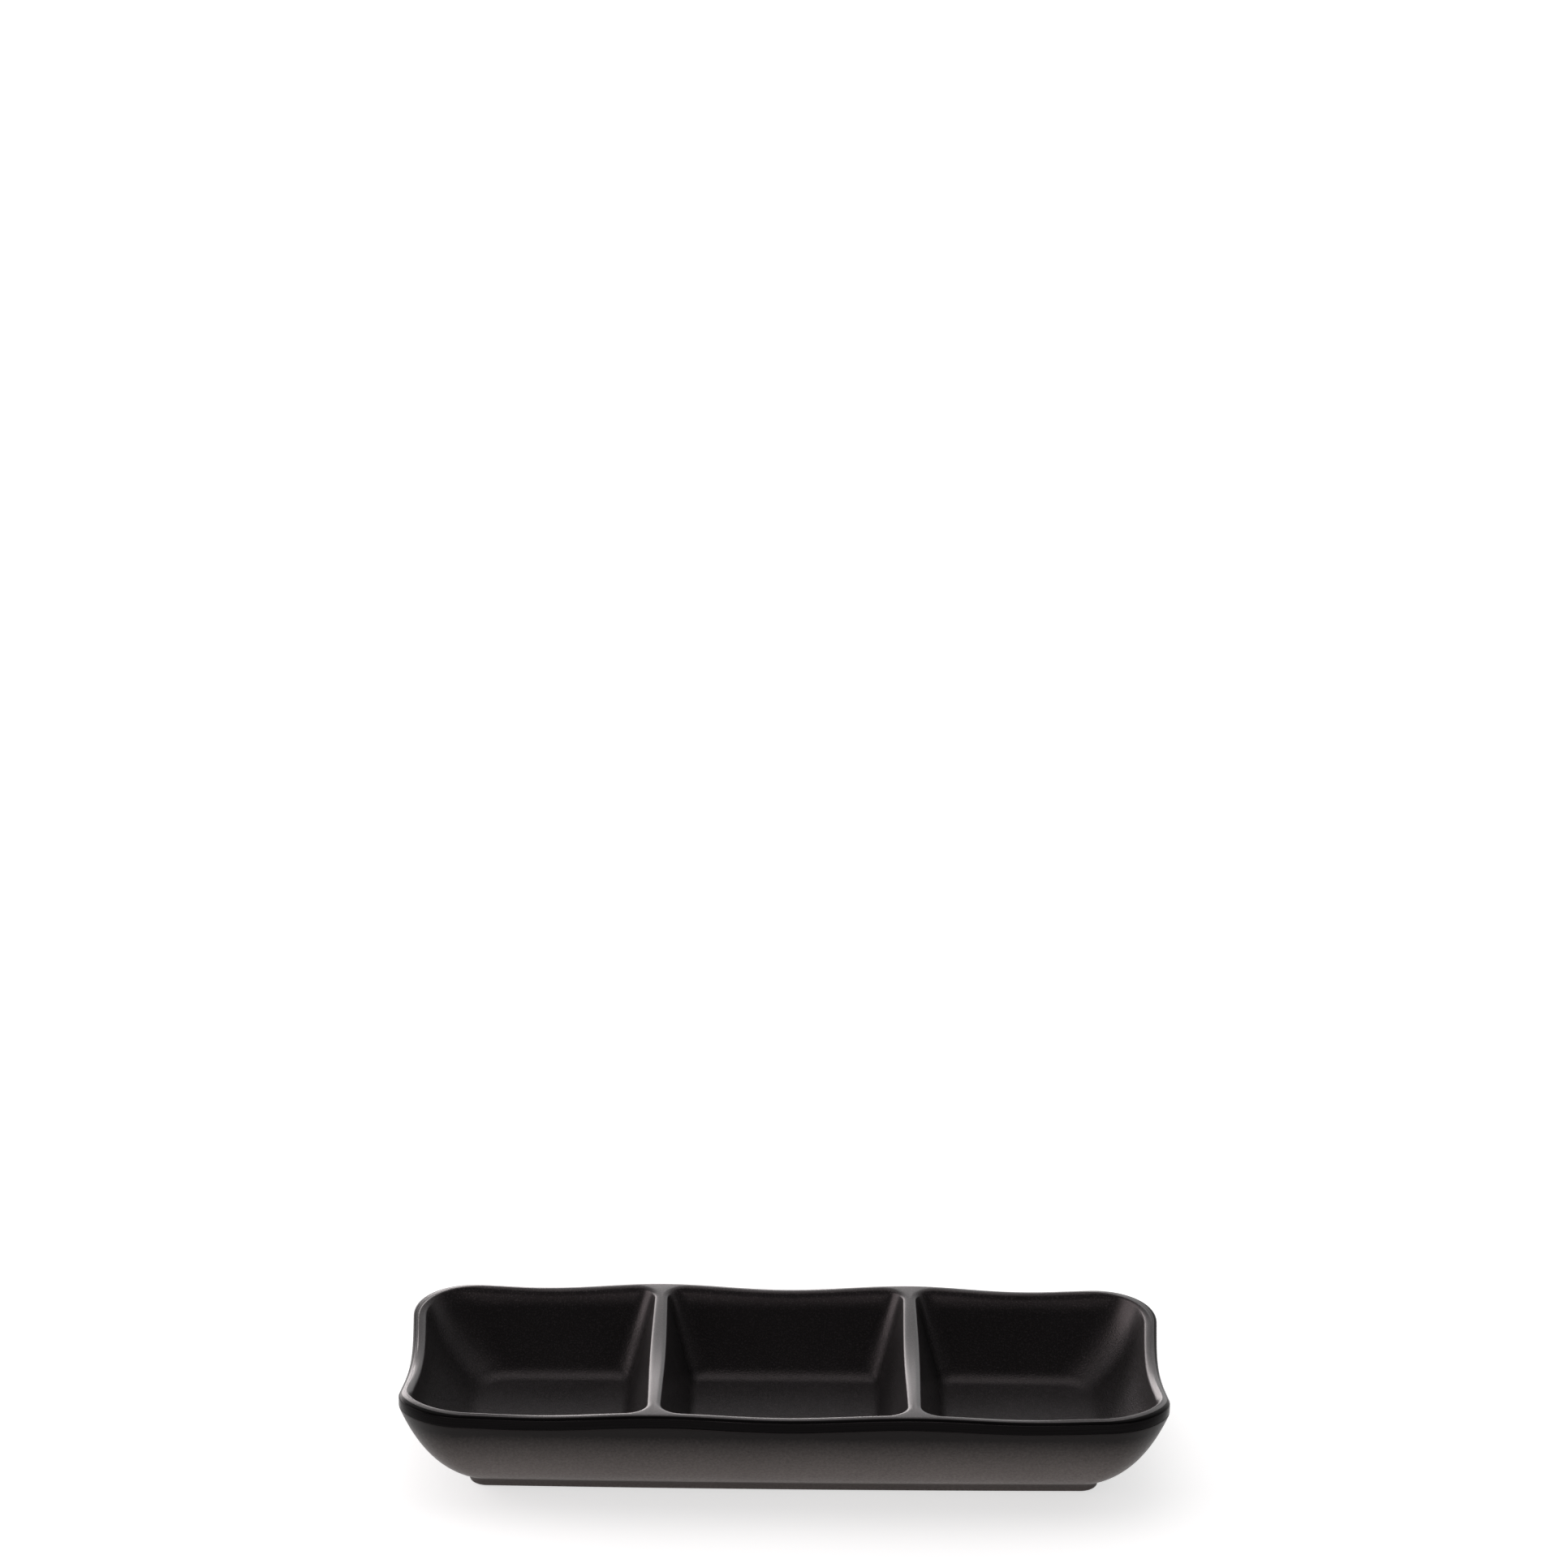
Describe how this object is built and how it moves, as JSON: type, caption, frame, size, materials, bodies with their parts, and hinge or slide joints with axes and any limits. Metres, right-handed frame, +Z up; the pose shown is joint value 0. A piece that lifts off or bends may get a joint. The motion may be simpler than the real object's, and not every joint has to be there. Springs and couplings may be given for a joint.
{
  "type": "divided dish",
  "caption": "Low rectangular condiment dish: a row of tapered wells between integral dividers, a wavy rim with a smooth dark edge band, and a bowl-shaped outside on a foot ring.",
  "frame": {"origin": "middle of the dish's footprint, on the table", "axes": "+X along the row of wells, +Y across it towards the back, +Z up"},
  "size_m": [0.2084, 0.089, 0.028],
  "materials": {
    "tray_black": "matte with a fine grain, polished on the edge band",
    "shell_charcoal": "satin"
  },
  "bodies": {
    "root": {"inner_tray": "tray_black", "outer_shell": "shell_charcoal"}
  },
  "joints": []
}
